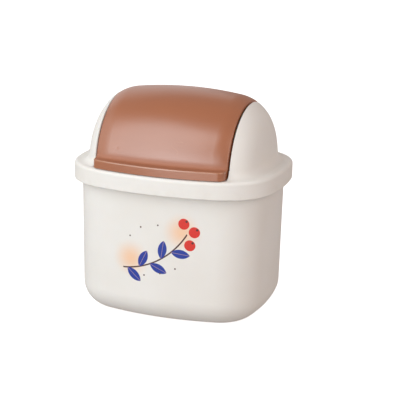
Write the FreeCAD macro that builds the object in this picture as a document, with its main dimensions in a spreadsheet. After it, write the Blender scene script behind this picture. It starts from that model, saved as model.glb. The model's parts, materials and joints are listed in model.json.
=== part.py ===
"""Desktop trash can: a round cornered bucket, a lift-off cover and a half round flap that turns on pins.

Millimetres and degrees.  +Z is up, the front is at -Y, and the origin is the middle of the base.
The flap and the cheeks of the cover share one barrel shape, turned about the hinge axis along X.
"""
import FreeCAD, Part

import math
import os
from enum import IntEnum

import Sketcher
from FreeCAD import Placement, Rotation, Vector

SIZES = {
    # Whole bin
    "overall_width": 165,
    "overall_depth": 135,
    "overall_height": 175,
    # Plan outline of the rim, which the bucket follows further in
    "rim_front_bow_radius": 205,
    "rim_side_bow_radius": 185,
    "rim_corner_radius": 42,
    # Cover: rim band and ledge
    "ledge_above_hinge": 1.5,
    "ledge_side_width": 12.65,
    "ledge_front_width": 9,
    "ledge_thickness": 2.2,
    "ledge_edge_radius": 2.6,
    "skirt_height": 14,
    "skirt_wall": 2.2,
    "skirt_foot_radius": 0.8,
    # Cover: collar that drops inside the bucket
    "collar_depth": 9,
    "collar_wall": 1.5,
    "collar_clearance": 0.5,
    # Barrel shape of the cheeks and the flap
    "dome_crown_bow_radius": 300,
    "dome_end_bow_radius": 180,
    "dome_shoulder_radius": 30,
    # Cover: cheeks and rear shell
    "cheek_width": 17.35,
    "cheek_wall": 2,
    "cheek_edge_bevel": 0.9,
    "cheek_edge_start_angle": 9,
    "cheek_foot_radius": 6,
    "cheek_foot_share": 0.95,
    "hinge_wall": 2,
    "rear_shell_wall": 2,
    "rear_shell_overlap_angle": 9,
    # Flap
    "flap_thickness": 2.2,
    "flap_sweep_angle": 113,
    "flap_edge_radius": 1,
    "flap_side_gap": 1.3,
    "flap_rest_gap": 0.6,
    "flap_running_gap": 0.8,
    "arm_thickness": 2.2,
    "arm_spread_angle": 36,
    # Finger lip of the flap
    "lip_height": 6.6,
    "lip_setback": 0.6,
    "lip_wall": 2,
    "lip_corner_radius": 6,
    "lip_root_radius": 3,
    "lip_root_share": 0.5,
    # Hinge
    "pin_radius": 2.5,
    "pin_running_clearance": 0.06,
    "pin_head_radius": 4.2,
    "pin_head_thickness": 1.6,
    "pin_tip_length": 1,
    "pin_tip_chamfer": 0.6,
    "hub_radius": 7,
    "hub_length": 5,
    "boss_radius": 6,
    "boss_length": 4,
    "lug_radius": 9,
    "thrust_gap": 0.3,
    # Bucket
    "rim_overhang": 6.3,
    "bucket_taper": 1.5,
    "bucket_wall": 2,
    "base_edge_radius": 20,
    "flange_thickness": 2.5,
    "flange_edge_radius": 0.8,
    "flange_clearance": 0.4,
    "foot_ring_width": 6,
    "foot_recess_depth": 0.8,
    # Extra length of every cut past the face that it leaves
    "overrun": 2,
}

# Plan outline of the rim, and profile of the barrel shape, as expressions on the sheet
RIM = {
    "half_width": "sizes.overall_width / 2",
    "half_depth": "sizes.overall_depth / 2",
    "bow": "sizes.rim_front_bow_radius",
    "side_bow": "sizes.rim_side_bow_radius",
    "corner": "sizes.rim_corner_radius",
}
DOME = {
    "half_width": "(sizes.overall_width / 2 - sizes.ledge_side_width)",
    "half_depth": "(sizes.overall_depth / 2 - sizes.ledge_front_width)",
    "bow": "sizes.dome_crown_bow_radius",
    "side_bow": "sizes.dome_end_bow_radius",
    "corner": "sizes.dome_shoulder_radius",
}

# Places that several pieces share
DOME_RADIUS = DOME["half_depth"]
PIVOT_HEIGHT = "(sizes.overall_height - %s)" % DOME_RADIUS
LEDGE_HEIGHT = "(%s + sizes.ledge_above_hinge)" % PIVOT_HEIGHT
LEDGE_UNDERSIDE = "(%s - sizes.ledge_thickness)" % LEDGE_HEIGHT
FLAP_HALF_WIDTH = "(%s - sizes.cheek_width)" % DOME["half_width"]
FLAP_BOTTOM = "(%s + sizes.flap_rest_gap)" % LEDGE_HEIGHT
HINGE_WALL_INNER = "(%s + sizes.flap_side_gap)" % FLAP_HALF_WIDTH
HINGE_WALL_OUTER = "(%s + sizes.hinge_wall)" % HINGE_WALL_INNER
REAR_SHELL_OUTER = "(sizes.flap_thickness + sizes.flap_running_gap)"
FRONT_LEDGE_FLAT = "(sizes.ledge_front_width - sizes.ledge_edge_radius)"
CHEEK_FOOT = "min(sizes.cheek_foot_radius; %s * sizes.cheek_foot_share)" % FRONT_LEDGE_FLAT
BUCKET_MOUTH_INSET = "sizes.rim_overhang"
BUCKET_BASE_INSET = "(sizes.rim_overhang + sizes.bucket_taper)"
SHOULDER_X = "dome_layout.Constraints.shoulder_x"
SHOULDER_Y = "dome_layout.Constraints.shoulder_y"

# Sketch points count from 1, and the sketch's own axes count back from -1
START, END, CENTRE = IntEnum("Point", "START END CENTRE")
X_AXIS, Y_AXIS = -START, -END
ORIGIN = (X_AXIS, START)

# How near an edge lies to a plane to count as lying in it
PICK_TOLERANCE = 0.001

doc = FreeCAD.newDocument("desktop_trash_can")
sheet = doc.addObject("Spreadsheet::Sheet", "sizes")
for row, (alias, number) in enumerate(SIZES.items(), 1):
    sheet.set("A%d" % row, alias)
    sheet.set("B%d" % row, str(number))
    sheet.setAlias("B%d" % row, alias)
doc.recompute()


def value(expression):
    """The number that an expression on the sheet gives."""
    result = sheet.evalExpression(expression)
    return float(getattr(result, "Value", result))


def origin_plane(body, role):
    return next(feature for feature in body.Origin.OriginFeatures if feature.Role == role)


def new_sketch(body, name, plane, offset, turn=None):
    """A sketch on one of the body's own planes, moved along its normal and turned about its X axis."""
    sketch = body.newObject("Sketcher::SketchObject", name)
    sketch.AttachmentSupport = [(origin_plane(body, plane), "")]
    sketch.MapMode = "FlatFace"
    angle = value(turn) if turn else 0
    sketch.AttachmentOffset = Placement(Vector(0, 0, value(offset)), Rotation(Vector(1, 0, 0), angle))
    sketch.setExpression("AttachmentOffset.Base.z", offset)
    if turn:
        sketch.setExpression("AttachmentOffset.Rotation.Angle", turn)
    return sketch


def dimension(sketch, label, kind, expression, *where):
    """A named dimension of a sketch, bound to the sheet."""
    index = sketch.addConstraint(Sketcher.Constraint(kind, *where, value(expression)))
    name = "%s_%d" % (label, index)
    sketch.renameConstraint(index, name)
    sketch.setExpression("Constraints." + name, expression)


def place(sketch, label, axis, expression, geometry, point):
    """The distance of a point from the sketch's origin along X or Y, written as a positive number."""
    if value(expression) < 0:
        dimension(sketch, label, "Distance" + axis, "-(%s)" % expression, geometry, point, *ORIGIN)
    else:
        dimension(sketch, label, "Distance" + axis, expression, *ORIGIN, geometry, point)


def relate(sketch, kind, *where):
    sketch.addConstraint(Sketcher.Constraint(kind, *where))


def add_arc(sketch, centre, radius, first, last):
    circle = Part.Circle(Vector(centre[0], centre[1], 0), Vector(0, 0, 1), radius)
    return sketch.addGeometry(Part.ArcOfCircle(circle, first, last), False)


def add_line(sketch, first, last):
    return sketch.addGeometry(Part.LineSegment(Vector(*first, 0), Vector(*last, 0)), False)


def add_circle(sketch, x, y, radius):
    """A circle whose centre and radius are expressions."""
    centre = Vector(value(x), value(y), 0)
    circle = sketch.addGeometry(Part.Circle(centre, Vector(0, 0, 1), value(radius)), False)
    for axis, expression in (("X", x), ("Y", y)):
        place(sketch, "centre", axis, expression, circle, CENTRE)
    dimension(sketch, "radius", "Radius", radius, circle)


def add_polygon(sketch, corners):
    """Straight lines round corners whose places are pairs of expressions."""
    points = [(value(x), value(y)) for x, y in corners]
    lines = [add_line(sketch, points[i - 1], points[i]) for i in range(len(points))]
    for i, (x, y) in enumerate(corners):
        relate(sketch, "Coincident", lines[i], END, lines[(i + 1) % len(lines)], START)
        place(sketch, "corner_x", "X", x, lines[i], END)
        place(sketch, "corner_y", "Y", y, lines[i], END)


def corner_centre(family):
    """Centre of the corner arc that touches the front or crown bow and the side bow."""
    bow, side_bow, corner = (value(family[key]) for key in ("bow", "side_bow", "corner"))
    bow_y = value(family["half_depth"]) - bow
    side_x = value(family["half_width"]) - side_bow
    apart = math.hypot(side_x, bow_y)
    along = ((bow - corner) ** 2 - (side_bow - corner) ** 2 + apart ** 2) / (2 * apart)
    across = math.sqrt((bow - corner) ** 2 - along ** 2)
    unit_x, unit_y = side_x / apart, -bow_y / apart
    return along * unit_x + across * unit_y, bow_y + along * unit_y - across * unit_x


def joint_angles(family):
    """Directions of the joints of a corner arc with the front or crown bow and with the side bow."""
    x, y = corner_centre(family)
    bow_angle = math.atan2(y - value(family["half_depth"]) + value(family["bow"]), x)
    side_angle = math.atan2(y, x - value(family["half_width"]) + value(family["side_bow"]))
    return bow_angle, side_angle


def less(expression, inset):
    return "%s - %s" % (expression, inset)


def hold_bow(sketch, arc, family, inset, side):
    """Centre and radius of a front, back or crown bow; side is 1 towards +Y and -1 towards -Y."""
    centre_y = less(family["half_depth"], family["bow"])
    relate(sketch, "PointOnObject", arc, CENTRE, Y_AXIS)
    place(sketch, "bow_centre", "Y", centre_y if side > 0 else "-(%s)" % centre_y, arc, CENTRE)
    dimension(sketch, "bow_radius", "Radius", less(family["bow"], inset), arc)


def hold_side_bow(sketch, arc, family, inset, side):
    """Centre and radius of a bow at the right (side 1) or left (side -1) end."""
    centre_x = less(family["half_width"], family["side_bow"])
    relate(sketch, "PointOnObject", arc, CENTRE, X_AXIS)
    place(sketch, "side_centre", "X", centre_x if side > 0 else "-(%s)" % centre_x, arc, CENTRE)
    dimension(sketch, "side_radius", "Radius", less(family["side_bow"], inset), arc)


def outline(sketch, family, inset="0"):
    """Closed outline of eight touching arcs: bowed front, back and sides, joined by round corners."""
    x, y = corner_centre(family)
    bow_angle, side_angle = joint_angles(family)
    bow, side_bow, corner = (value(less(family[key], inset)) for key in ("bow", "side_bow", "corner"))
    bow_y = value(less(family["half_depth"], family["bow"]))
    side_x = value(less(family["half_width"], family["side_bow"]))
    turn = math.pi
    arcs = [
        add_arc(sketch, (side_x, 0), side_bow, -side_angle, side_angle),
        add_arc(sketch, (x, y), corner, side_angle, bow_angle),
        add_arc(sketch, (0, bow_y), bow, bow_angle, turn - bow_angle),
        add_arc(sketch, (-x, y), corner, turn - bow_angle, turn - side_angle),
        add_arc(sketch, (-side_x, 0), side_bow, turn - side_angle, turn + side_angle),
        add_arc(sketch, (-x, -y), corner, turn + side_angle, turn + bow_angle),
        add_arc(sketch, (0, -bow_y), bow, turn + bow_angle, 2 * turn - bow_angle),
        add_arc(sketch, (x, -y), corner, 2 * turn - bow_angle, 2 * turn - side_angle),
    ]
    for i, arc in enumerate(arcs):
        relate(sketch, "Tangent", arc, END, arcs[(i + 1) % len(arcs)], START)
    hold_side_bow(sketch, arcs[0], family, inset, 1)
    hold_side_bow(sketch, arcs[4], family, inset, -1)
    hold_bow(sketch, arcs[2], family, inset, 1)
    hold_bow(sketch, arcs[6], family, inset, -1)
    for arc in arcs[1::2]:
        dimension(sketch, "corner_radius", "Radius", less(family["corner"], inset), arc)
    return arcs


def dome_chain(sketch, half_width, inset, side):
    """The crown bow and its two shoulders, out to x = half_width, on the +Y or -Y side of the axis.

    Returns the right and left ends, each as an arc and one of its points.
    """
    x, y = corner_centre(DOME)
    bow_angle = joint_angles(DOME)[0]
    bow = value(less(DOME["bow"], inset))
    shoulder = value(less(DOME["corner"], inset))
    end_angle = math.acos((value(half_width) - x) / shoulder)
    turn = math.pi
    bow_y = value(less(DOME["half_depth"], DOME["bow"])) * side
    if side > 0:
        right = add_arc(sketch, (x, y), shoulder, end_angle, bow_angle)
        crown = add_arc(sketch, (0, bow_y), bow, bow_angle, turn - bow_angle)
        left = add_arc(sketch, (-x, y), shoulder, turn - bow_angle, turn - end_angle)
        chain = (right, crown, left)
    else:
        left = add_arc(sketch, (-x, -y), shoulder, turn + end_angle, turn + bow_angle)
        crown = add_arc(sketch, (0, bow_y), bow, turn + bow_angle, 2 * turn - bow_angle)
        right = add_arc(sketch, (x, -y), shoulder, 2 * turn - bow_angle, 2 * turn - end_angle)
        chain = (left, crown, right)
    for first, second in zip(chain, chain[1:]):
        relate(sketch, "Tangent", first, END, second, START)
    hold_bow(sketch, crown, DOME, inset, side)
    for arc, sign in ((right, ""), (left, "-")):
        dimension(sketch, "shoulder_radius", "Radius", less(DOME["corner"], inset), arc)
        place(sketch, "shoulder_centre", "X", sign + SHOULDER_X, arc, CENTRE)
    return ((right, START), (left, END)) if side > 0 else ((right, END), (left, START))


def shoulder_point(half_width, inset, side):
    """Where a dome chain ends at its right side."""
    x, y = corner_centre(DOME)
    reach = value(half_width) - x
    return value(half_width), side * (y + math.sqrt(value(less(DOME["corner"], inset)) ** 2 - reach ** 2))


def side_line(sketch, first, last, x):
    """An upright line at x; returns it."""
    line = add_line(sketch, first, last)
    relate(sketch, "Vertical", line)
    place(sketch, "side", "X", x, line, START)
    return line


def band(sketch, half_width, outer, inner):
    """Profile of a barrel shell with square sides: the space between two dome chains."""
    outer_right, outer_left = dome_chain(sketch, half_width, outer, 1)
    inner_right, inner_left = dome_chain(sketch, half_width, inner, 1)
    x, top = shoulder_point(half_width, outer, 1)
    bottom = shoulder_point(half_width, inner, 1)[1]
    right = side_line(sketch, (x, bottom), (x, top), half_width)
    left = side_line(sketch, (-x, top), (-x, bottom), "-" + half_width)
    for line, start, end in ((right, inner_right, outer_right), (left, outer_left, inner_left)):
        relate(sketch, "Coincident", line, START, *start)
        relate(sketch, "Coincident", line, END, *end)


def half_dome(sketch):
    """The barrel's whole profile down to its axis."""
    x, y = corner_centre(DOME)
    bow_angle, side_angle = joint_angles(DOME)
    bow, side_bow, corner = (value(DOME[key]) for key in ("bow", "side_bow", "corner"))
    side_x = value(less(DOME["half_width"], DOME["side_bow"]))
    half_width = value(DOME["half_width"])
    turn = math.pi
    arcs = [
        add_arc(sketch, (side_x, 0), side_bow, 0, side_angle),
        add_arc(sketch, (x, y), corner, side_angle, bow_angle),
        add_arc(sketch, (0, value(DOME["half_depth"]) - bow), bow, bow_angle, turn - bow_angle),
        add_arc(sketch, (-x, y), corner, turn - bow_angle, turn - side_angle),
        add_arc(sketch, (-side_x, 0), side_bow, turn - side_angle, turn),
    ]
    for first, second in zip(arcs, arcs[1:]):
        relate(sketch, "Tangent", first, END, second, START)
    hold_side_bow(sketch, arcs[0], DOME, "0", 1)
    hold_bow(sketch, arcs[2], DOME, "0", 1)
    hold_side_bow(sketch, arcs[4], DOME, "0", -1)
    for arc in arcs[1::2]:
        dimension(sketch, "shoulder_radius", "Radius", DOME["corner"], arc)
    axis = add_line(sketch, (-half_width, 0), (half_width, 0))
    relate(sketch, "PointOnObject", arcs[0], START, X_AXIS)
    relate(sketch, "PointOnObject", arcs[-1], END, X_AXIS)
    relate(sketch, "Coincident", axis, START, arcs[-1], END)
    relate(sketch, "Coincident", axis, END, arcs[0], START)


def cheek_space(sketch, wall_x, inset):
    """Profile of the hollow of the right cheek, from its hinge wall to the barrel's end."""
    x, y = corner_centre(DOME)
    side_angle = joint_angles(DOME)[1]
    side_x = value(less(DOME["half_width"], DOME["side_bow"]))
    corner = value(less(DOME["corner"], inset))
    wall = value(wall_x)
    top = shoulder_point(wall_x, inset, 1)[1]
    bow = add_arc(sketch, (side_x, 0), value(less(DOME["side_bow"], inset)), 0, side_angle)
    shoulder = add_arc(sketch, (x, y), corner, side_angle, math.acos((wall - x) / corner))
    line = side_line(sketch, (wall, top), (wall, 0), wall_x)
    axis = add_line(sketch, (wall, 0), (value(less(DOME["half_width"], inset)), 0))
    relate(sketch, "Tangent", bow, END, shoulder, START)
    hold_side_bow(sketch, bow, DOME, inset, 1)
    dimension(sketch, "shoulder_radius", "Radius", less(DOME["corner"], inset), shoulder)
    place(sketch, "shoulder_centre", "X", SHOULDER_X, shoulder, CENTRE)
    relate(sketch, "Coincident", shoulder, END, line, START)
    relate(sketch, "Coincident", line, END, axis, START)
    relate(sketch, "Coincident", axis, END, bow, START)
    relate(sketch, "PointOnObject", line, END, X_AXIS)
    relate(sketch, "PointOnObject", bow, START, X_AXIS)


def edge_bevel(sketch, wall_x, bevel):
    """Profile of the cut that bevels the edge between the right hinge wall and the barrel's shoulder."""
    x, y = corner_centre(DOME)
    wall, size = value(wall_x), value(bevel)
    edge_y = shoulder_point(wall_x, "0", 1)[1]
    spoke = add_line(sketch, (x, y), (wall, edge_y))
    sketch.toggleConstruction(spoke)
    place(sketch, "shoulder_centre", "X", SHOULDER_X, spoke, START)
    place(sketch, "shoulder_centre", "Y", SHOULDER_Y, spoke, START)
    dimension(sketch, "shoulder_radius", "Distance", DOME["corner"], spoke)
    place(sketch, "edge", "X", wall_x, spoke, END)
    foot, far = (wall - size, edge_y - 2 * size), (wall + 2 * size, edge_y + size)
    corner = (wall - size, edge_y + size)
    slope, top, side = (add_line(sketch, *ends) for ends in ((foot, far), (far, corner), (corner, foot)))
    for first, second in ((slope, top), (top, side), (side, slope)):
        relate(sketch, "Coincident", first, END, second, START)
    relate(sketch, "Horizontal", top)
    relate(sketch, "Vertical", side)
    place(sketch, "gap_side", "X", "(%s - %s)" % (wall_x, bevel), side, START)
    place(sketch, "far_side", "X", "(%s + 2 * %s)" % (wall_x, bevel), slope, END)
    dimension(sketch, "above_edge", "DistanceY", bevel, spoke, END, side, START)
    dimension(sketch, "below_edge", "DistanceY", "2 * " + bevel, slope, START, spoke, END)


def arm_section(sketch, inner_x, outer_x, inset):
    """Section of the right arm: from the hinge axis up into the thickness of the flap."""
    x, y = corner_centre(DOME)
    shoulder = value(less(DOME["corner"], inset))
    angles = [math.acos((value(edge) - x) / shoulder) for edge in (outer_x, inner_x)]
    top = add_arc(sketch, (x, y), shoulder, *angles)
    outer_top, inner_top = (shoulder_point(edge, inset, 1)[1] for edge in (outer_x, inner_x))
    outer = side_line(sketch, (value(outer_x), 0), (value(outer_x), outer_top), outer_x)
    inner = side_line(sketch, (value(inner_x), inner_top), (value(inner_x), 0), inner_x)
    axis = add_line(sketch, (value(inner_x), 0), (value(outer_x), 0))
    dimension(sketch, "top_radius", "Radius", less(DOME["corner"], inset), top)
    place(sketch, "top_centre", "X", SHOULDER_X, top, CENTRE)
    place(sketch, "top_centre", "Y", SHOULDER_Y, top, CENTRE)
    for first, second in ((axis, outer), (outer, top), (top, inner), (inner, axis)):
        relate(sketch, "Coincident", first, END, second, START)
    for line in (outer, inner):
        relate(sketch, "PointOnObject", line, START if line == outer else END, X_AXIS)


def lip_plan(sketch, half_width, front_inset, back_inset):
    """Plan of the finger lip: its front follows the rim, its back lies along the flap."""
    back_right, back_left = dome_chain(sketch, half_width, back_inset, -1)
    radius = value(less(RIM["bow"], front_inset))
    centre_y = value(RIM["bow"]) - value(RIM["half_depth"])
    half = value(half_width)
    spread = math.asin(half / radius)
    down = 1.5 * math.pi
    front_y = centre_y - radius * math.cos(spread)
    back_y = shoulder_point(half_width, back_inset, -1)[1]
    front = add_arc(sketch, (0, centre_y), radius, down - spread, down + spread)
    hold_bow(sketch, front, RIM, front_inset, -1)
    right = side_line(sketch, (half, front_y), (half, back_y), half_width)
    left = side_line(sketch, (-half, back_y), (-half, front_y), "-" + half_width)
    relate(sketch, "Coincident", front, END, right, START)
    relate(sketch, "Coincident", right, END, *back_right)
    relate(sketch, "Coincident", left, START, *back_left)
    relate(sketch, "Coincident", left, END, front, START)


def round_front(sketch, half_width, front_inset, corner, back_y):
    """Front of a plan: a bow that follows the rim, round corners and straight sides; returns the sides."""
    half, small = value(half_width), value(corner)
    radius = value(less(RIM["bow"], front_inset))
    centre_y = value(RIM["bow"]) - value(RIM["half_depth"])
    corner_x = half - small
    corner_y = centre_y - math.sqrt((radius - small) ** 2 - corner_x ** 2)
    lean = math.atan2(centre_y - corner_y, corner_x)
    turn = math.pi
    front = add_arc(sketch, (0, centre_y), radius, turn + lean, 2 * turn - lean)
    right_corner = add_arc(sketch, (corner_x, corner_y), small, 2 * turn - lean, 2 * turn)
    right = side_line(sketch, (half, corner_y), (half, back_y), half_width)
    left = side_line(sketch, (-half, back_y), (-half, corner_y), "-" + half_width)
    left_corner = add_arc(sketch, (-corner_x, corner_y), small, turn, turn + lean)
    chain = (left, left_corner, front, right_corner, right)
    for first, second in zip(chain, chain[1:]):
        relate(sketch, "Tangent", first, END, second, START)
    hold_bow(sketch, front, RIM, front_inset, -1)
    for arc in (right_corner, left_corner):
        dimension(sketch, "corner_radius", "Radius", corner, arc)
    return right, left


def flap_plan(sketch, half_width, front_inset, corner, back):
    """Plan of the whole flap: its lip's front, its sides and a straight back."""
    right, left = round_front(sketch, half_width, front_inset, corner, value(back))
    half, back_y = value(half_width), value(back)
    rear = add_line(sketch, (half, back_y), (-half, back_y))
    for first, second in ((right, rear), (rear, left)):
        relate(sketch, "Coincident", first, END, second, START)
    relate(sketch, "Horizontal", rear)
    place(sketch, "back", "Y", back, rear, START)


def channel_plan(sketch, half_width, front_inset, corner, back_inset):
    """Plan of the hollow under the lip: its front is the lip's, its back lies along the flap."""
    right, left = round_front(
        sketch, half_width, front_inset, corner, shoulder_point(half_width, back_inset, -1)[1])
    back_right, back_left = dome_chain(sketch, half_width, back_inset, -1)
    relate(sketch, "Coincident", right, END, *back_right)
    relate(sketch, "Coincident", left, START, *back_left)


def extrude(body, kind, name, sketch, length, reverse=False, both_ways=False):
    """A Pad or Pocket; raises an error if it leaves the volume as it was."""
    before = body.Shape.Volume if body.Tip else 0
    feature = body.newObject("PartDesign::" + kind, name)
    feature.Profile = sketch
    feature.Length = value(length)
    feature.setExpression("Length", length)
    feature.Reversed = reverse
    if both_ways:
        feature.SideType = "Symmetric"
    return finish_feature(body, feature, before)


def turn_profile(body, kind, name, sketch, angle):
    """A Revolution or Groove about the sketch's X axis."""
    before = body.Shape.Volume if body.Tip else 0
    feature = body.newObject("PartDesign::" + kind, name)
    feature.Profile = sketch
    feature.ReferenceAxis = (sketch, ["H_Axis"])
    feature.Angle = value(angle)
    feature.setExpression("Angle", angle)
    return finish_feature(body, feature, before)


def lean_walls(body, name, rise, run):
    """A Draft of the upright faces of the tip: over its height they lean outwards by run."""
    base = body.Tip
    before = body.Shape.Volume
    height = value(rise) - PICK_TOLERANCE
    faces = ["Face%d" % i for i, face in enumerate(base.Shape.Faces, 1) if face.BoundBox.ZLength > height]
    feature = body.newObject("PartDesign::Draft", name)
    feature.Base = (base, faces)
    feature.NeutralPlane = (origin_plane(body, "XY_Plane"), [""])
    feature.Angle = math.degrees(math.atan(value(run) / value(rise)))
    feature.setExpression("Angle", "atan(%s / %s)" % (run, rise))
    feature.Reversed = True
    return finish_feature(body, feature, before)


def hollow_out(body, name, height, wall):
    """A Thickness that leaves a wall inside every face but the flat one at a height, which is left open."""
    base = body.Tip
    before = body.Shape.Volume
    top = value(height)
    faces = ["Face%d" % i for i, face in enumerate(base.Shape.Faces, 1) if level(face.BoundBox, top)]
    feature = body.newObject("PartDesign::Thickness", name)
    feature.Base = (base, faces)
    feature.Value = value(wall)
    feature.setExpression("Value", wall)
    feature.Reversed = True
    return finish_feature(body, feature, before)


def round_edges(body, name, radius, test):
    """A Fillet on the edges of the body's tip whose boxes pass a test."""
    base = body.Tip
    edges = ["Edge%d" % i for i, edge in enumerate(base.Shape.Edges, 1) if test(edge.BoundBox)]
    if not edges:
        raise RuntimeError("no edge found for " + name)
    before = body.Shape.Volume
    feature = body.newObject("PartDesign::Fillet", name)
    feature.Base = (base, edges)
    feature.Radius = value(radius)
    feature.setExpression("Radius", radius)
    return finish_feature(body, feature, before)


def mirror_sides(body, name, originals):
    """Repeats features of the right side on the left side."""
    before = body.Shape.Volume
    feature = body.newObject("PartDesign::Mirrored", name)
    feature.Originals = originals
    feature.MirrorPlane = (origin_plane(body, "YZ_Plane"), [""])
    body.Tip = feature
    return finish_feature(body, feature, before)


def finish_feature(body, feature, volume_before):
    doc.recompute()
    if "Invalid" in feature.State or feature.Shape.isNull():
        raise RuntimeError("feature failed: " + feature.Name)
    if abs(body.Shape.Volume - volume_before) < PICK_TOLERANCE:
        raise RuntimeError("feature changes nothing: " + feature.Name)
    return feature


def level(box, height):
    """Whether an edge's box lies flat at a height."""
    return abs(box.ZMin - height) < PICK_TOLERANCE and abs(box.ZMax - height) < PICK_TOLERANCE


def new_body(name):
    body = doc.addObject("PartDesign::Body", name)
    body.Label = name
    return body


def make_dome_layout():
    """Layout sketch of the barrel profile, which tells where the centres of its shoulders lie."""
    layout = doc.addObject("Sketcher::SketchObject", "dome_layout")
    shoulder = outline(layout, DOME)[1]
    for axis, distance in zip("xy", corner_centre(DOME)):
        kind = "Distance" + axis.upper()
        index = layout.addConstraint(Sketcher.Constraint(kind, *ORIGIN, shoulder, CENTRE, distance))
        layout.setDriving(index, False)
        layout.renameConstraint(index, "shoulder_" + axis)
    doc.recompute()


def make_bucket():
    """The tub: tapered, round cornered, with a flange at its mouth and a hollow in its base."""
    body = new_body("bucket")
    base = new_sketch(body, "tub_base", "XY_Plane", "0")
    outline(base, RIM, BUCKET_BASE_INSET)
    extrude(body, "Pad", "tub", base, LEDGE_UNDERSIDE)
    lean_walls(body, "tub_taper", LEDGE_UNDERSIDE, "sizes.bucket_taper")
    round_edges(body, "base_edge", "sizes.base_edge_radius", lambda box: level(box, 0))
    hollow_out(body, "inside", LEDGE_UNDERSIDE, "sizes.bucket_wall")

    flange_bottom = "%s - sizes.flange_thickness" % LEDGE_UNDERSIDE
    flange = new_sketch(body, "flange_plan", "XY_Plane", flange_bottom)
    outline(flange, RIM, "(sizes.skirt_wall + sizes.flange_clearance)")
    outline(flange, RIM, "(%s + sizes.bucket_wall / 2)" % BUCKET_MOUTH_INSET)
    extrude(body, "Pad", "flange", flange, "sizes.flange_thickness")
    mouth_corner = value("sizes.overall_width / 2 - sizes.rim_overhang") + PICK_TOLERANCE
    mouth_front = value("sizes.overall_depth / 2 - sizes.rim_overhang") + PICK_TOLERANCE

    def flange_rim(box):
        flat = level(box, value(LEDGE_UNDERSIDE)) or level(box, value(flange_bottom))
        return flat and (max(box.XMax, -box.XMin) > mouth_corner or max(box.YMax, -box.YMin) > mouth_front)

    round_edges(body, "flange_edge", "sizes.flange_edge_radius", flange_rim)

    foot_inset = "(%s + sizes.base_edge_radius + sizes.foot_ring_width)" % BUCKET_BASE_INSET
    recess = new_sketch(body, "base_recess_plan", "XY_Plane", "0")
    outline(recess, RIM, foot_inset)
    extrude(body, "Pocket", "base_recess", recess, "sizes.foot_recess_depth", reverse=True)
    return body


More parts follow.
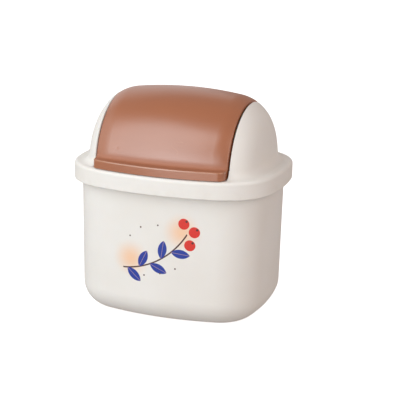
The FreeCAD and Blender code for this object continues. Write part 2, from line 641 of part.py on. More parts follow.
def make_lid_cover():
    """Rim band, ledge, collar, two cheeks with their hinge walls, and the fixed rear shell."""
    body = new_body("lid_cover")
    ledge = value(LEDGE_HEIGHT)
    skirt_bottom = "%s - sizes.skirt_height" % LEDGE_HEIGHT
    rim = new_sketch(body, "rim_plan", "XY_Plane", skirt_bottom)
    outline(rim, RIM)
    extrude(body, "Pad", "rim_band", rim, "sizes.skirt_height")
    round_edges(body, "ledge_edge", "sizes.ledge_edge_radius", lambda box: level(box, ledge))
    underside = new_sketch(body, "underside_plan", "XY_Plane", skirt_bottom)
    outline(underside, RIM, "sizes.skirt_wall")
    skirt_depth = "sizes.skirt_height - sizes.ledge_thickness"
    extrude(body, "Pocket", "underside", underside, skirt_depth, reverse=True)
    skirt_foot = value(skirt_bottom)
    round_edges(body, "skirt_foot", "sizes.skirt_foot_radius", lambda box: level(box, skirt_foot))

    dome = new_sketch(body, "dome_profile", "XY_Plane", PIVOT_HEIGHT)
    half_dome(dome)
    turn_profile(body, "Revolution", "dome", dome, "180")
    dome_reach = value(DOME["half_width"]) + PICK_TOLERANCE
    round_edges(
        body, "cheek_foot", CHEEK_FOOT,
        lambda box: level(box, ledge) and max(box.XMax, -box.XMin) < dome_reach)

    gap = new_sketch(body, "flap_gap_outline", "XZ_Plane", "0")
    top = "sizes.overall_height + sizes.overrun"
    left, right = "-" + HINGE_WALL_INNER, HINGE_WALL_INNER
    add_polygon(gap, ((left, LEDGE_HEIGHT), (right, LEDGE_HEIGHT), (right, top), (left, top)))
    extrude(body, "Pocket", "flap_gap", gap, "sizes.overall_depth", both_ways=True)

    mouth = new_sketch(body, "mouth_plan", "XY_Plane", LEDGE_HEIGHT)
    mouth_inset = "(%s + sizes.rear_shell_wall / 2)" % REAR_SHELL_OUTER
    back_right, back_left = dome_chain(mouth, HINGE_WALL_INNER, mouth_inset, 1)
    front_right, front_left = dome_chain(mouth, HINGE_WALL_INNER, mouth_inset, -1)
    edge, back_y = shoulder_point(HINGE_WALL_INNER, mouth_inset, 1)
    right_side = side_line(mouth, (edge, -back_y), (edge, back_y), HINGE_WALL_INNER)
    left_side = side_line(mouth, (-edge, back_y), (-edge, -back_y), "-" + HINGE_WALL_INNER)
    relate(mouth, "Coincident", right_side, START, *front_right)
    relate(mouth, "Coincident", right_side, END, *back_right)
    relate(mouth, "Coincident", left_side, START, *back_left)
    relate(mouth, "Coincident", left_side, END, *front_left)
    extrude(body, "Pocket", "mouth", mouth, "sizes.ledge_thickness + sizes.overrun")

    shell = new_sketch(body, "rear_shell_profile", "XY_Plane", PIVOT_HEIGHT)
    shell_width = "(%s + sizes.hinge_wall / 2)" % HINGE_WALL_INNER
    band(shell, shell_width, REAR_SHELL_OUTER, "(%s + sizes.rear_shell_wall)" % REAR_SHELL_OUTER)
    shell_angle = "180 - sizes.flap_sweep_angle + sizes.rear_shell_overlap_angle"
    turn_profile(body, "Revolution", "rear_shell", shell, shell_angle)

    space = new_sketch(body, "cheek_space_profile", "XY_Plane", PIVOT_HEIGHT)
    cheek_space(space, HINGE_WALL_OUTER, "sizes.cheek_wall")
    hollow = turn_profile(body, "Groove", "cheek_space", space, "360")
    edge_start = "sizes.cheek_edge_start_angle"
    edge = new_sketch(body, "cheek_edge_profile", "XY_Plane", PIVOT_HEIGHT, edge_start)
    edge_bevel(edge, HINGE_WALL_INNER, "sizes.cheek_edge_bevel")
    bevelled_edge = turn_profile(body, "Groove", "cheek_edge", edge, "180 - 2 * %s" % edge_start)
    lug = new_sketch(body, "hinge_lug_outline", "YZ_Plane", HINGE_WALL_INNER)
    add_circle(lug, "0", PIVOT_HEIGHT, "sizes.lug_radius")
    hinge_lug = extrude(body, "Pad", "hinge_lug", lug, "sizes.hinge_wall")
    thrust_face = "(%s + sizes.thrust_gap)" % FLAP_HALF_WIDTH
    boss_span = "%s + sizes.boss_length - %s" % (HINGE_WALL_OUTER, thrust_face)
    boss = new_sketch(body, "hinge_boss_outline", "YZ_Plane", thrust_face)
    add_circle(boss, "0", PIVOT_HEIGHT, "sizes.boss_radius")
    hinge_boss = extrude(body, "Pad", "hinge_boss", boss, boss_span)
    bore = new_sketch(body, "hinge_bore_outline", "YZ_Plane", thrust_face)
    add_circle(bore, "0", PIVOT_HEIGHT, "sizes.pin_radius + sizes.pin_running_clearance")
    hinge_bore = extrude(body, "Pocket", "hinge_bore", bore, boss_span, reverse=True)
    mirror_sides(body, "left_cheek", [hollow, bevelled_edge, hinge_lug, hinge_boss, hinge_bore])

    collar_bottom = "%s - sizes.collar_depth" % LEDGE_UNDERSIDE
    collar_inset = "(%s + sizes.bucket_wall + sizes.collar_clearance)" % BUCKET_MOUTH_INSET
    collar = new_sketch(body, "collar_plan", "XY_Plane", collar_bottom)
    outline(collar, RIM, collar_inset)
    outline(collar, RIM, "(%s + sizes.collar_wall)" % collar_inset)
    extrude(body, "Pad", "collar", collar, "sizes.collar_depth")
    return body


def make_flap():
    """The half round flap: a barrel shell with two arms to the hinge and a hollow finger lip."""
    body = new_body("flap")
    blank_half = "(%s + sizes.overrun)" % FLAP_HALF_WIDTH
    profile = new_sketch(body, "flap_profile", "XY_Plane", PIVOT_HEIGHT, "180 - sizes.flap_sweep_angle")
    band(profile, blank_half, "0", "sizes.flap_thickness")
    turn_profile(body, "Revolution", "flap_shell", profile, "sizes.flap_sweep_angle")

    lip = new_sketch(body, "lip_outline", "XY_Plane", FLAP_BOTTOM)
    lip_plan(lip, blank_half, "-sizes.overrun", "sizes.flap_thickness / 2")
    extrude(body, "Pad", "lip", lip, "sizes.lip_height")
    lip_top = value(FLAP_BOTTOM) + value("sizes.lip_height")
    front_of_flap = -value(DOME_RADIUS)
    lip_reach = "(sizes.ledge_front_width - sizes.lip_setback)"
    round_edges(
        body, "lip_root", "min(sizes.lip_root_radius; %s * sizes.lip_root_share)" % lip_reach,
        lambda box: level(box, lip_top) and box.YMin > front_of_flap and box.XLength > PICK_TOLERANCE)

    sides = new_sketch(body, "side_trim_plan", "XY_Plane", "0")
    flap_plan(sides, FLAP_HALF_WIDTH, "sizes.lip_setback", "sizes.lip_corner_radius", DOME_RADIUS)
    outer = "(%s + sizes.overrun)" % blank_half
    front, back = "-(sizes.overall_depth / 2 + 2 * sizes.overrun)", "(%s + sizes.overrun)" % DOME_RADIUS
    add_polygon(sides, (("-" + outer, front), (outer, front), (outer, back), ("-" + outer, back)))
    extrude(body, "Pocket", "side_trim", sides, "sizes.overall_height + sizes.overrun", reverse=True)
    rear_angle = math.radians(value("180 - sizes.flap_sweep_angle"))
    rear_of_flap = value(DOME_RADIUS) * math.cos(rear_angle) - PICK_TOLERANCE

    def lip_front_or_rear(box):
        return level(box, lip_top) and box.YMin < front_of_flap or box.YMax > rear_of_flap

    round_edges(body, "outer_edge", "sizes.flap_edge_radius", lip_front_or_rear)

    arm = new_sketch(body, "arm_profile", "XY_Plane", PIVOT_HEIGHT, "180 - sizes.arm_spread_angle")
    arm_inner = "(%s - sizes.arm_thickness)" % FLAP_HALF_WIDTH
    arm_section(arm, arm_inner, FLAP_HALF_WIDTH, "sizes.flap_thickness / 2")
    arm_web = turn_profile(body, "Revolution", "arm", arm, "sizes.arm_spread_angle")
    hub = new_sketch(body, "hub_outline", "YZ_Plane", FLAP_HALF_WIDTH)
    add_circle(hub, "0", PIVOT_HEIGHT, "sizes.hub_radius")
    hub_pad = extrude(body, "Pad", "hub", hub, "sizes.hub_length", reverse=True)
    bore = new_sketch(body, "pin_seat_outline", "YZ_Plane", FLAP_HALF_WIDTH)
    add_circle(bore, "0", PIVOT_HEIGHT, "sizes.pin_radius")
    pin_seat = extrude(body, "Pocket", "pin_seat", bore, "sizes.hub_length")
    mirror_sides(body, "left_arm", [arm_web, hub_pad, pin_seat])

    trim = new_sketch(body, "bottom_trim_plan", "XY_Plane", FLAP_BOTTOM)
    hub_front = "-sizes.hub_radius"
    add_polygon(trim, (("-" + outer, front), (outer, front), (outer, hub_front), ("-" + outer, hub_front)))
    extrude(body, "Pocket", "bottom_trim", trim, "%s - %s + sizes.overrun" % (FLAP_BOTTOM, PIVOT_HEIGHT))
    channel = new_sketch(body, "lip_channel_plan", "XY_Plane", FLAP_BOTTOM)
    channel_half = "(%s - sizes.lip_wall)" % FLAP_HALF_WIDTH
    channel_front = "(sizes.lip_setback + sizes.lip_wall)"
    channel_plan(channel, channel_half, channel_front, "(sizes.lip_corner_radius - sizes.lip_wall)", "0")
    extrude(body, "Pocket", "lip_channel", channel, "sizes.lip_height - sizes.lip_wall", reverse=True)
    return body


def make_pin(name, side):
    """A headed hinge pin: its head lies against the hub, its tip comes out of the boss."""
    body = new_body(name)
    seat = "(%s - sizes.hub_length)" % FLAP_HALF_WIDTH
    length = "(%s + sizes.boss_length + sizes.pin_tip_length - %s)" % (HINGE_WALL_OUTER, seat)
    head = "-sizes.pin_head_thickness"
    tip_radius = "(sizes.pin_radius - sizes.pin_tip_chamfer)"
    tip_start = "(%s - sizes.pin_tip_chamfer)" % length
    sketch = new_sketch(body, name + "_profile", "XY_Plane", "0")
    add_polygon(sketch, (
        (head, "0"), (length, "0"), (length, tip_radius), (tip_start, "sizes.pin_radius"),
        ("0", "sizes.pin_radius"), ("0", "sizes.pin_head_radius"), (head, "sizes.pin_head_radius")))
    turn_profile(body, "Revolution", name + "_turning", sketch, "360")
    body.Placement = Placement(Vector(0, 0, 0), Rotation(Vector(0, 0, 1), 0 if side > 0 else 180))
    body.setExpression("Placement.Base.x", seat if side > 0 else "-" + seat)
    body.setExpression("Placement.Base.z", PIVOT_HEIGHT)
    doc.recompute()
    return body


def write_parts(bodies):
    """Checks every object of the document, then writes one file for each piece."""
    doc.recompute()
    for thing in doc.Objects:
        if "Invalid" in thing.State or "Error" in thing.State:
            raise RuntimeError("object failed: " + thing.Name)
    for body in bodies:
        if body.Shape.isNull() or not body.Shape.isValid() or len(body.Shape.Solids) != 1:
            raise RuntimeError("bad shape: " + body.Label)
    os.makedirs("parts", exist_ok=True)
    for body in bodies:
        body.Shape.exportStep("parts/%s.step" % body.Label)


make_dome_layout()
write_parts([
    make_bucket(),
    make_lid_cover(),
    make_flap(),
    make_pin("hinge_pin_left", -1),
    make_pin("hinge_pin_right", 1),
])
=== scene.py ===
"""Looks of a desktop trash can with a swinging flap: its plastics, its printed front and its studio."""

import json
import math
from typing import NamedTuple

import bpy
from bpy.props import FloatProperty, FloatVectorProperty, PointerProperty
from mathutils import Matrix, Vector


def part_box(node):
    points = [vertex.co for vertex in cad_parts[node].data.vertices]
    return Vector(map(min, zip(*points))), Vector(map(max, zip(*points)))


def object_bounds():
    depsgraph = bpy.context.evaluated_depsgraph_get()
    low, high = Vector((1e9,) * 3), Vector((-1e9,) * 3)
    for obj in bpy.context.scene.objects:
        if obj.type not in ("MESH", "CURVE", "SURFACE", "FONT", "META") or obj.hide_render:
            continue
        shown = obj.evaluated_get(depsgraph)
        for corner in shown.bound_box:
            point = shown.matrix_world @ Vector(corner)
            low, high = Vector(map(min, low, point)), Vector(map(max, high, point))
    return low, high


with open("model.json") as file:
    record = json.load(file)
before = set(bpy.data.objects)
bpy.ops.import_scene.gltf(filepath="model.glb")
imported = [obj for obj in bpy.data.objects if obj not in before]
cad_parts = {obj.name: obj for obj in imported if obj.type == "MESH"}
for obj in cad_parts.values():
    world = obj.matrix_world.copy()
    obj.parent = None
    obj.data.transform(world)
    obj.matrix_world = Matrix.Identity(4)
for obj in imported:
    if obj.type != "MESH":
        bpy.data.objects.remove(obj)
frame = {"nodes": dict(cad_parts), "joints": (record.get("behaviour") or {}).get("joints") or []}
CAD_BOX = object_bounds()

bl_info = {
    "name": "Desktop Trash Can",
    "version": (1, 0, 0),
    "blender": (4, 5, 0),
    "location": "3D View > Sidebar > Trash Can",
    "description": "Moulded plastics, printed front and studio of a desktop trash can",
    "category": "Material",
}

MM = 0.001

# Places that the finishes follow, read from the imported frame
BUCKET_LOW, BUCKET_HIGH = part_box("bucket")
COVER_LOW, COVER_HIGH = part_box("lid_cover")
HINGE = next(Vector(joint["pos_m"]) for joint in frame["joints"] if joint["name"] == "flap_hinge")
HEIGHT = CAD_BOX[1].z - CAD_BOX[0].z


def linear(red, green, blue):
    """A colour seen on a screen, 0 to 255, as the linear values that a shader takes."""
    def straighten(level):
        share = level / 255
        return share / 12.92 if share <= 0.04045 else ((share + 0.055) / 1.055) ** 2.4
    return tuple(straighten(level) for level in (red, green, blue))


# Wires and finishes

class Wire:
    """A socket of a finish that sums can be written with, each adding its Math node."""

    def __init__(self, finish, socket):
        self.finish = finish
        self.socket = socket

    def maths(self, operation, *values):
        return self.finish.node("ShaderNodeMath", {"operation": operation}, dict(enumerate(values)))

    def __add__(self, other):
        return self.maths("ADD", self, other)

    def __radd__(self, other):
        return self.maths("ADD", other, self)

    def __sub__(self, other):
        return self.maths("SUBTRACT", self, other)

    def __rsub__(self, other):
        return self.maths("SUBTRACT", other, self)

    def __mul__(self, other):
        return self.maths("MULTIPLY", self, other)

    def __rmul__(self, other):
        return self.maths("MULTIPLY", other, self)

    def __abs__(self):
        return self.maths("ABSOLUTE", self)

    def least(self, other):
        return self.maths("MINIMUM", self, other)

    def most(self, other):
        return self.maths("MAXIMUM", self, other)

    def rise(self, start, end):
        """0 below start and 1 past end, with a smooth step between them."""
        return self.finish.node(
            "ShaderNodeMapRange",
            {"interpolation_type": "SMOOTHSTEP"},
            {"Value": self, "From Min": start, "From Max": end},
        )

    def fall(self, start, end):
        """1 below start and 0 past end, with a smooth step between them."""
        return 1 - self.rise(start, end)


class Finish:
    """A material in the making, with its nodes and the object's own coordinates."""

    COLOUR_MIX = {"factor": 0, "under": 6, "over": 7, "result": 2}

    def __init__(self, name):
        self.material = bpy.data.materials.new(name)
        self.material.use_nodes = True
        self.tree = self.material.node_tree
        self.shader = self.tree.nodes["Principled BSDF"]
        self.place = self.node("ShaderNodeTexCoord", output="Object")
        self.facing = self.node("ShaderNodeTexCoord", output="Normal")

    def node(self, kind, settings=None, sockets=None, output=0):
        """Adds a node, sets it up, fills or links its sockets and returns one output as a wire."""
        made = self.tree.nodes.new(kind)
        for name, setting in (settings or {}).items():
            setattr(made, name, setting)
        for name, value in (sockets or {}).items():
            self.feed(made.inputs[name], value)
        return Wire(self, made.outputs[output])

    def feed(self, socket, value):
        if isinstance(value, Wire):
            self.tree.links.new(value.socket, socket)
        else:
            socket.default_value = value

    def shade(self, sockets):
        """Feeds the sockets of the shader."""
        for name, value in sockets.items():
            self.feed(self.shader.inputs[name], value)

    def mix(self, under, over, factor):
        """The colour over laid on the colour under."""
        index = self.COLOUR_MIX
        return self.node(
            "ShaderNodeMix",
            {"data_type": "RGBA"},
            {index["factor"]: factor, index["under"]: tint(under), index["over"]: tint(over)},
            index["result"],
        )

    def vector(self, operation, *values, output=0):
        return self.node("ShaderNodeVectorMath", {"operation": operation}, dict(enumerate(values)), output)

    def axis(self, vector, letter):
        return self.node("ShaderNodeSeparateXYZ", None, {"Vector": vector}, letter)

    def noise(self, size, detail=2, stretch=(1, 1, 1)):
        """Even noise whose blotches are about size across, drawn out along the axes by stretch."""
        scale = tuple(1 / (size * share) for share in stretch)
        spot = self.vector("MULTIPLY", self.place, scale)
        return self.node("ShaderNodeTexNoise", None, {"Vector": spot, "Scale": 1, "Detail": detail})

    def bump(self, height, under=None):
        """The normal of a surface raised by a height in metres."""
        sockets = {"Strength": 1, "Distance": 1, "Height": height}
        if under:
            sockets["Normal"] = under
        return self.node("ShaderNodeBump", None, sockets)


def tint(colour):
    """A plain colour with its alpha, or a wire as it is."""
    return colour if isinstance(colour, Wire) else (*tuple(colour)[:3], 1)


# Settings that a user would change

class CreamSettings(bpy.types.PropertyGroup):
    """The cream plastic of the bucket and the lid cover"""

    colour: FloatVectorProperty(
        name="Colour", description="Body of the plastic", subtype="COLOR",
        default=linear(240, 236, 230), min=0, max=1,
    )
    blush: FloatVectorProperty(
        name="Blush", description="Warmer tone of the cloudy patches in the moulding", subtype="COLOR",
        default=linear(237, 232, 225), min=0, max=1,
    )
    scuff: FloatVectorProperty(
        name="Scuff", description="Greyed tone of the rubbed places", subtype="COLOR",
        default=linear(226, 220, 211), min=0, max=1,
    )
    roughness: FloatProperty(
        name="Roughness", description="Mean roughness of the satin finish", default=0.42, min=0, max=1,
        subtype="FACTOR",
    )
    grain_size: FloatProperty(
        name="Grain Size", description="Width of one grain of the mould's satin texture",
        default=0.45 * MM, min=0, unit="LENGTH",
    )
    grain_depth: FloatProperty(
        name="Grain Depth", description="Depth of the mould's satin texture", default=0.006 * MM, min=0,
        unit="LENGTH",
    )


class BrownSettings(bpy.types.PropertyGroup):
    """The brown plastic of the flap"""

    colour: FloatVectorProperty(
        name="Colour", description="Body of the plastic", subtype="COLOR",
        default=linear(168, 97, 56), min=0, max=1,
    )
    deep: FloatVectorProperty(
        name="Deep Tone", description="Darker tone of the flow patches in the moulding", subtype="COLOR",
        default=linear(162, 92, 52), min=0, max=1,
    )
    # Paler tone laid along the lip's top front edge, partly rubbed wear and partly a painted highlight, and
    # in the fine scuffs
    rubbed: FloatVectorProperty(
        name="Rubbed Tone", description="Paler tone of the lip's rubbed edge and the fine scuffs",
        subtype="COLOR", default=linear(182, 124, 88), min=0, max=1,
    )
    roughness: FloatProperty(
        name="Roughness", description="Mean roughness of the satin finish", default=0.33, min=0, max=1,
        subtype="FACTOR",
    )
    grain_size: FloatProperty(
        name="Grain Size", description="Width of one grain of the mould's satin texture",
        default=0.4 * MM, min=0, unit="LENGTH",
    )
    grain_depth: FloatProperty(
        name="Grain Depth", description="Depth of the mould's satin texture", default=0.006 * MM, min=0,
        unit="LENGTH",
    )


class PinSettings(bpy.types.PropertyGroup):
    """The hard plastic of the hinge pins"""

    colour: FloatVectorProperty(
        name="Colour", description="Body of the plastic", subtype="COLOR",
        default=linear(226, 221, 212), min=0, max=1,
    )
    roughness: FloatProperty(
        name="Roughness", description="Mean roughness of the turned finish", default=0.3, min=0, max=1,
        subtype="FACTOR",
    )
    ring_pitch: FloatProperty(
        name="Ring Pitch", description="Spacing of the turning rings", default=0.25 * MM, min=0,
        unit="LENGTH",
    )


class PrintSettings(bpy.types.PropertyGroup):
    """The sprig printed on the bucket's front"""

    middle: FloatVectorProperty(
        name="Middle", description="Middle of the print, across and up the front", size=2,
        default=(0, 0.34 * HEIGHT), unit="LENGTH",
    )
    leaf: FloatVectorProperty(
        name="Leaf", description="Ink of the leaves", subtype="COLOR", default=linear(44, 66, 158),
        min=0, max=1,
    )
    stem: FloatVectorProperty(
        name="Stem", description="Ink of the stem and the berries' crowns", subtype="COLOR",
        default=linear(84, 58, 54), min=0, max=1,
    )
    berry: FloatVectorProperty(
        name="Berry", description="Ink of the berries", subtype="COLOR", default=linear(222, 58, 48),
        min=0, max=1,
    )
    glow: FloatVectorProperty(
        name="Glow", description="Ink of the soft patches behind the sprig", subtype="COLOR",
        default=linear(250, 200, 158), min=0, max=1,
    )


class StudioSettings(bpy.types.PropertyGroup):
    """The floor, the lights and the camera"""

    floor: FloatVectorProperty(
        name="Floor", description="Colour of the floor", subtype="COLOR", default=(0.9, 0.9, 0.9),
        min=0, max=1,
    )
    floor_light: FloatProperty(
        name="Floor Light", description="Glow of the lit floor", default=0.7, min=0,
    )
    ambience: FloatProperty(
        name="Ambience", description="Strength of the even light all round", default=0.4, min=0,
    )
    warm: FloatVectorProperty(
        name="Warm Light", description="Colour of the even light and of the light at the right",
        subtype="COLOR", default=(1, 0.9, 0.86), min=0, max=1,
    )
    cool: FloatVectorProperty(
        name="Cool Light", description="Colour of the other lights", subtype="COLOR",
        default=(0.88, 0.96, 1), min=0, max=1,
    )
    key: FloatProperty(
        name="Key", description="Power of the tall light at the front left", default=16, min=0,
        unit="POWER",
    )
    front: FloatProperty(
        name="Front", description="Power of the low light in front", default=7, min=0, unit="POWER",
    )
    left: FloatProperty(
        name="Left", description="Power of the light at the left", default=3.4, min=0, unit="POWER",
    )
    right: FloatProperty(
        name="Right", description="Power of the light at the right", default=6.6, min=0, unit="POWER",
    )
    back: FloatProperty(
        name="Back", description="Power of the light behind", default=5, min=0, unit="POWER",
    )
    azimuth: FloatProperty(
        name="Azimuth", description="Turn of the camera to the right of the front",
        default=math.radians(19.12), subtype="ANGLE",
    )
    elevation: FloatProperty(
        name="Elevation", description="Height of the camera above the horizon",
        default=math.radians(15.49), subtype="ANGLE",
    )
    roll: FloatProperty(
        name="Roll", description="Lean of the camera", default=math.radians(1.43), subtype="ANGLE",
    )
    distance: FloatProperty(
        name="Distance", description="From the camera to what it looks at", default=1.0475, unit="LENGTH",
    )
    lens: FloatProperty(
        name="Lens", description="Focal length on a 36 mm sensor", default=114.2, unit="CAMERA",
    )
    target: FloatVectorProperty(
        name="Target", description="What the camera looks at", default=(0.01897, 0.00466, 0.07847),
        subtype="TRANSLATION", unit="LENGTH",
    )


class TrashCanSettings(bpy.types.PropertyGroup):
    """All settings of the trash can"""

    cream: PointerProperty(type=CreamSettings)
    brown: PointerProperty(type=BrownSettings)
    pins: PointerProperty(type=PinSettings)
    sprig: PointerProperty(type=PrintSettings)
    studio: PointerProperty(type=StudioSettings)


# Parts of a finish

NOISE_MEAN = 0.5
WAVE_SIZE = 28 * MM
WAVE_DEPTH = 0.035 * MM
SCRATCH_WIDTH = 0.012
SCRATCH_DEPTH = 0.004 * MM
SCRATCH_DULLING = 0.1
SCRATCH_PATCH_SIZE = 24 * MM
SCRATCH_PATCH_RANGE = (0.5, 0.68)
CLOUD_RANGE = (0.35, 0.7)
CLOUD_DULLING = 0.12


def satin_grain(finish, look):
    """Height of the mould's satin texture, over the slow waves of a moulded wall."""
    grain = finish.noise(look.grain_size, detail=1) * look.grain_depth
    return grain + finish.noise(WAVE_SIZE, detail=0) * WAVE_DEPTH


def hairlines(finish, size, stretch):
    """Sparse fine scratches: the level lines of a noise drawn out along one axis."""
    line = abs(finish.noise(size, detail=1, stretch=stretch) - NOISE_MEAN).fall(0, SCRATCH_WIDTH)
    return line * finish.noise(SCRATCH_PATCH_SIZE).rise(*SCRATCH_PATCH_RANGE)


def disc(finish, spot, middle, radius, softness):
    """1 inside a printed disc and 0 outside, with an edge of the given softness."""
    gap = finish.vector("DISTANCE", spot, (middle[0], 0, middle[1]), output="Value")
    return gap.fall(radius - softness, radius)


# Print on the bucket's front

FRONT_FACING_RANGE = (-0.6, -0.3)
INK_HEIGHT = 0.012 * MM
INK_GLOSS = 0.08
EDGE = 0.18 * MM
STEM_START = Vector((-27, -17)) * MM
STEM_END = Vector((25, 15)) * MM
STEM_SAG = 7.5 * MM
STEM_WIDTH = 1.3 * MM
LEAF_LENGTH = 15 * MM
LEAF_WIDTH = 7.2 * MM
LEAF_LEAN = math.radians(48)
LEAF_PLACE_SHARES = (0.06, 0.22, 0.37, 0.53, 0.69)
VEIN_WIDTH = 0.45 * MM
VEIN_STRENGTH = 0.55
BERRY_RADIUS = 4.4 * MM
BERRY_OFFSETS = (Vector((5.5, 2)) * MM, Vector((-2.6, 8)) * MM, Vector((2.2, -8.5)) * MM)
CROWN_RADIUS = 1 * MM
CROWN_OFFSET = Vector((2.1, 2.1)) * MM
GLOW_RADIUS = 17 * MM
GLOW_STRENGTH = 0.85
GLOW_OFFSETS = (Vector((21, 16)) * MM, Vector((-20, -9)) * MM)
SEED_RADIUS = 0.75 * MM
SEED_PLACES = (
    Vector((-21, 9)) * MM, Vector((-12, 17)) * MM, Vector((2, 20)) * MM,
    Vector((16, -13)) * MM, Vector((4, -18)) * MM, Vector((-9, -21)) * MM,
)


def stem_circle():
    """Middle and radius of the circle that the stem follows, with its sag to the lower right."""
    chord = STEM_END - STEM_START
    half = chord.length / 2
    radius = (half ** 2 + STEM_SAG ** 2) / (2 * STEM_SAG)
    across = Vector((-chord.y, chord.x)).normalized()
    return (STEM_START + STEM_END) / 2 + across * (radius - STEM_SAG), radius


def stem_point(share):
    """A point of the stem, at a share of its length from its start, and the way it runs there."""
    middle, radius = stem_circle()
    start = (STEM_START - middle).normalized()
    end = (STEM_END - middle).normalized()
    turn = start.angle_signed(end) * share
    spoke = start.copy()
    spoke.rotate(Matrix.Rotation(-turn, 2))
    return middle + spoke * radius, Vector((-spoke.y, spoke.x))


def print_leaf(finish, spot, base, heading):
    """Masks of one leaf and of its vein, from the crossing of two equal discs."""
    half_length = LEAF_LENGTH / 2
    half_width = LEAF_WIDTH / 2
    radius = (half_length ** 2 + half_width ** 2) / (2 * half_width)
    middle = base + heading * half_length
    across = Vector((-heading.y, heading.x))
    left = disc(finish, spot, middle + across * (radius - half_width), radius, EDGE)
    right = disc(finish, spot, middle - across * (radius - half_width), radius, EDGE)
    leaf = left.least(right)
    aside = finish.vector("DOT_PRODUCT", spot, (across.x, 0, across.y), output="Value")
    vein = abs(aside - middle.dot(across)).fall(VEIN_WIDTH / 2 - EDGE, VEIN_WIDTH / 2)
    return leaf, vein * leaf


def print_sprig(finish, look, colour):
    """Lays the printed sprig on a colour. Returns the new colour and the mask of the ink."""
    outside = finish.axis(finish.place, "Y").fall(BUCKET_LOW.y / 2, 0)
    front = finish.axis(finish.facing, "Y").fall(*FRONT_FACING_RANGE) * outside
    spot = finish.vector("SUBTRACT", finish.place, (look.middle[0], 0, look.middle[1]))
    spot = finish.vector("MULTIPLY", spot, (1, 0, 1))
    for middle in GLOW_OFFSETS:
        glow = disc(finish, spot, middle, GLOW_RADIUS, GLOW_RADIUS)
        colour = finish.mix(colour, look.glow, glow * front * GLOW_STRENGTH)
    middle, radius = stem_circle()
    gap = finish.vector("DISTANCE", spot, (middle.x, 0, middle.y), output="Value") - radius
    stretch = disc(finish, spot, (STEM_START + STEM_END) / 2, (STEM_END - STEM_START).length / 2, EDGE)
    ink = abs(gap).fall(STEM_WIDTH / 2 - EDGE, STEM_WIDTH / 2) * stretch * front
    colour = finish.mix(colour, look.stem, ink)
    for number, share in enumerate(LEAF_PLACE_SHARES):
        base, heading = stem_point(share)
        heading.rotate(Matrix.Rotation(LEAF_LEAN if number % 2 else -LEAF_LEAN, 2))
        leaf, vein = print_leaf(finish, spot, base, heading)
        colour = finish.mix(colour, look.leaf, leaf * front)
        colour = finish.mix(colour, look.glow, vein * front * VEIN_STRENGTH)
        ink = ink.most(leaf * front)
    for offset in BERRY_OFFSETS:
        berry = disc(finish, spot, STEM_END + offset, BERRY_RADIUS, EDGE) * front
        crown = disc(finish, spot, STEM_END + offset + CROWN_OFFSET, CROWN_RADIUS, EDGE) * front
        colour = finish.mix(finish.mix(colour, look.berry, berry), look.stem, crown)
        ink = ink.most(berry)
    for place in SEED_PLACES:
        seed = disc(finish, spot, place, SEED_RADIUS, EDGE) * front
        colour = finish.mix(colour, look.stem, seed)
        ink = ink.most(seed)
    return colour, ink


# The plastics

PLASTIC_IOR = 1.49
GLOSSY_PLASTIC_IOR = 1.63
GLOSSY_SPECULAR_LEVEL = 1
CREAM_CLOUD_SIZE = 45 * MM
CREAM_SCRATCH_SIZE = 1.6 * MM
UPRIGHT_STRETCH = (1, 1, 9)
RUB_SIZE = 7 * MM
RUB_RANGE = (0.4, 0.8)
RUB_TINT = 0.4
RUB_DULLING = 0.14
SCATTER_WEIGHT = 0.12
SCATTER_RADII = (1, 0.8, 0.6)
SCATTER_DEPTH = 2 * MM


def cream_plastic(name, look, wear, sprig=None):
    """Satin cream plastic, cloudy and scuffed where wear says, with a print if a sprig is given."""
    finish = Finish(name)
    cloud = finish.noise(CREAM_CLOUD_SIZE, detail=3)
    worn = wear(finish)
    scratch = hairlines(finish, CREAM_SCRATCH_SIZE, UPRIGHT_STRETCH)
    rub = worn * finish.noise(RUB_SIZE, detail=3).rise(*RUB_RANGE)
    colour = finish.mix(look.colour, look.blush, cloud.rise(*CLOUD_RANGE))
    colour = finish.mix(colour, look.scuff, rub * RUB_TINT)
    height = satin_grain(finish, look) - scratch * SCRATCH_DEPTH
    roughness = look.roughness + (cloud - NOISE_MEAN) * CLOUD_DULLING
    roughness = roughness + worn * RUB_DULLING + scratch * SCRATCH_DULLING
    if sprig:
        colour, ink = print_sprig(finish, sprig, colour)
        height = height + ink * INK_HEIGHT
        roughness = roughness - ink * INK_GLOSS
    finish.shade({
        "Base Color": colour,
        "Roughness": roughness,
        "Normal": finish.bump(height),
        "IOR": PLASTIC_IOR,
        "Subsurface Weight": SCATTER_WEIGHT,
        "Subsurface Radius": SCATTER_RADII,
        "Subsurface Scale": SCATTER_DEPTH,
    })
    return finish.material


FOOT_WEAR_HEIGHT = 9 * MM
FLANGE_WEAR_HEIGHT = 3 * MM
SKIRT_WEAR_HEIGHT = 10 * MM
CROWN_WEAR_HEIGHT = 6 * MM
CROWN_WEAR_SPAN = (-4 * MM, 6 * MM)
CROWN_WEAR = 0.7


def bucket_wear(finish):
    """Scuffs round the foot and along the flange."""
    up = finish.axis(finish.place, "Z")
    foot = up.fall(BUCKET_LOW.z, BUCKET_LOW.z + FOOT_WEAR_HEIGHT)
    flange = up.rise(BUCKET_HIGH.z - FLANGE_WEAR_HEIGHT, BUCKET_HIGH.z)
    return foot.most(flange)


def cover_wear(finish):
    """Scuffs along the skirt's foot and over the crown of the rear shell."""
    up = finish.axis(finish.place, "Z")
    back = finish.axis(finish.place, "Y")
    skirt = up.fall(COVER_LOW.z, COVER_LOW.z + SKIRT_WEAR_HEIGHT)
    crown = up.rise(COVER_HIGH.z - CROWN_WEAR_HEIGHT, COVER_HIGH.z) * back.rise(*CROWN_WEAR_SPAN)
    return skirt.most(crown * CROWN_WEAR)


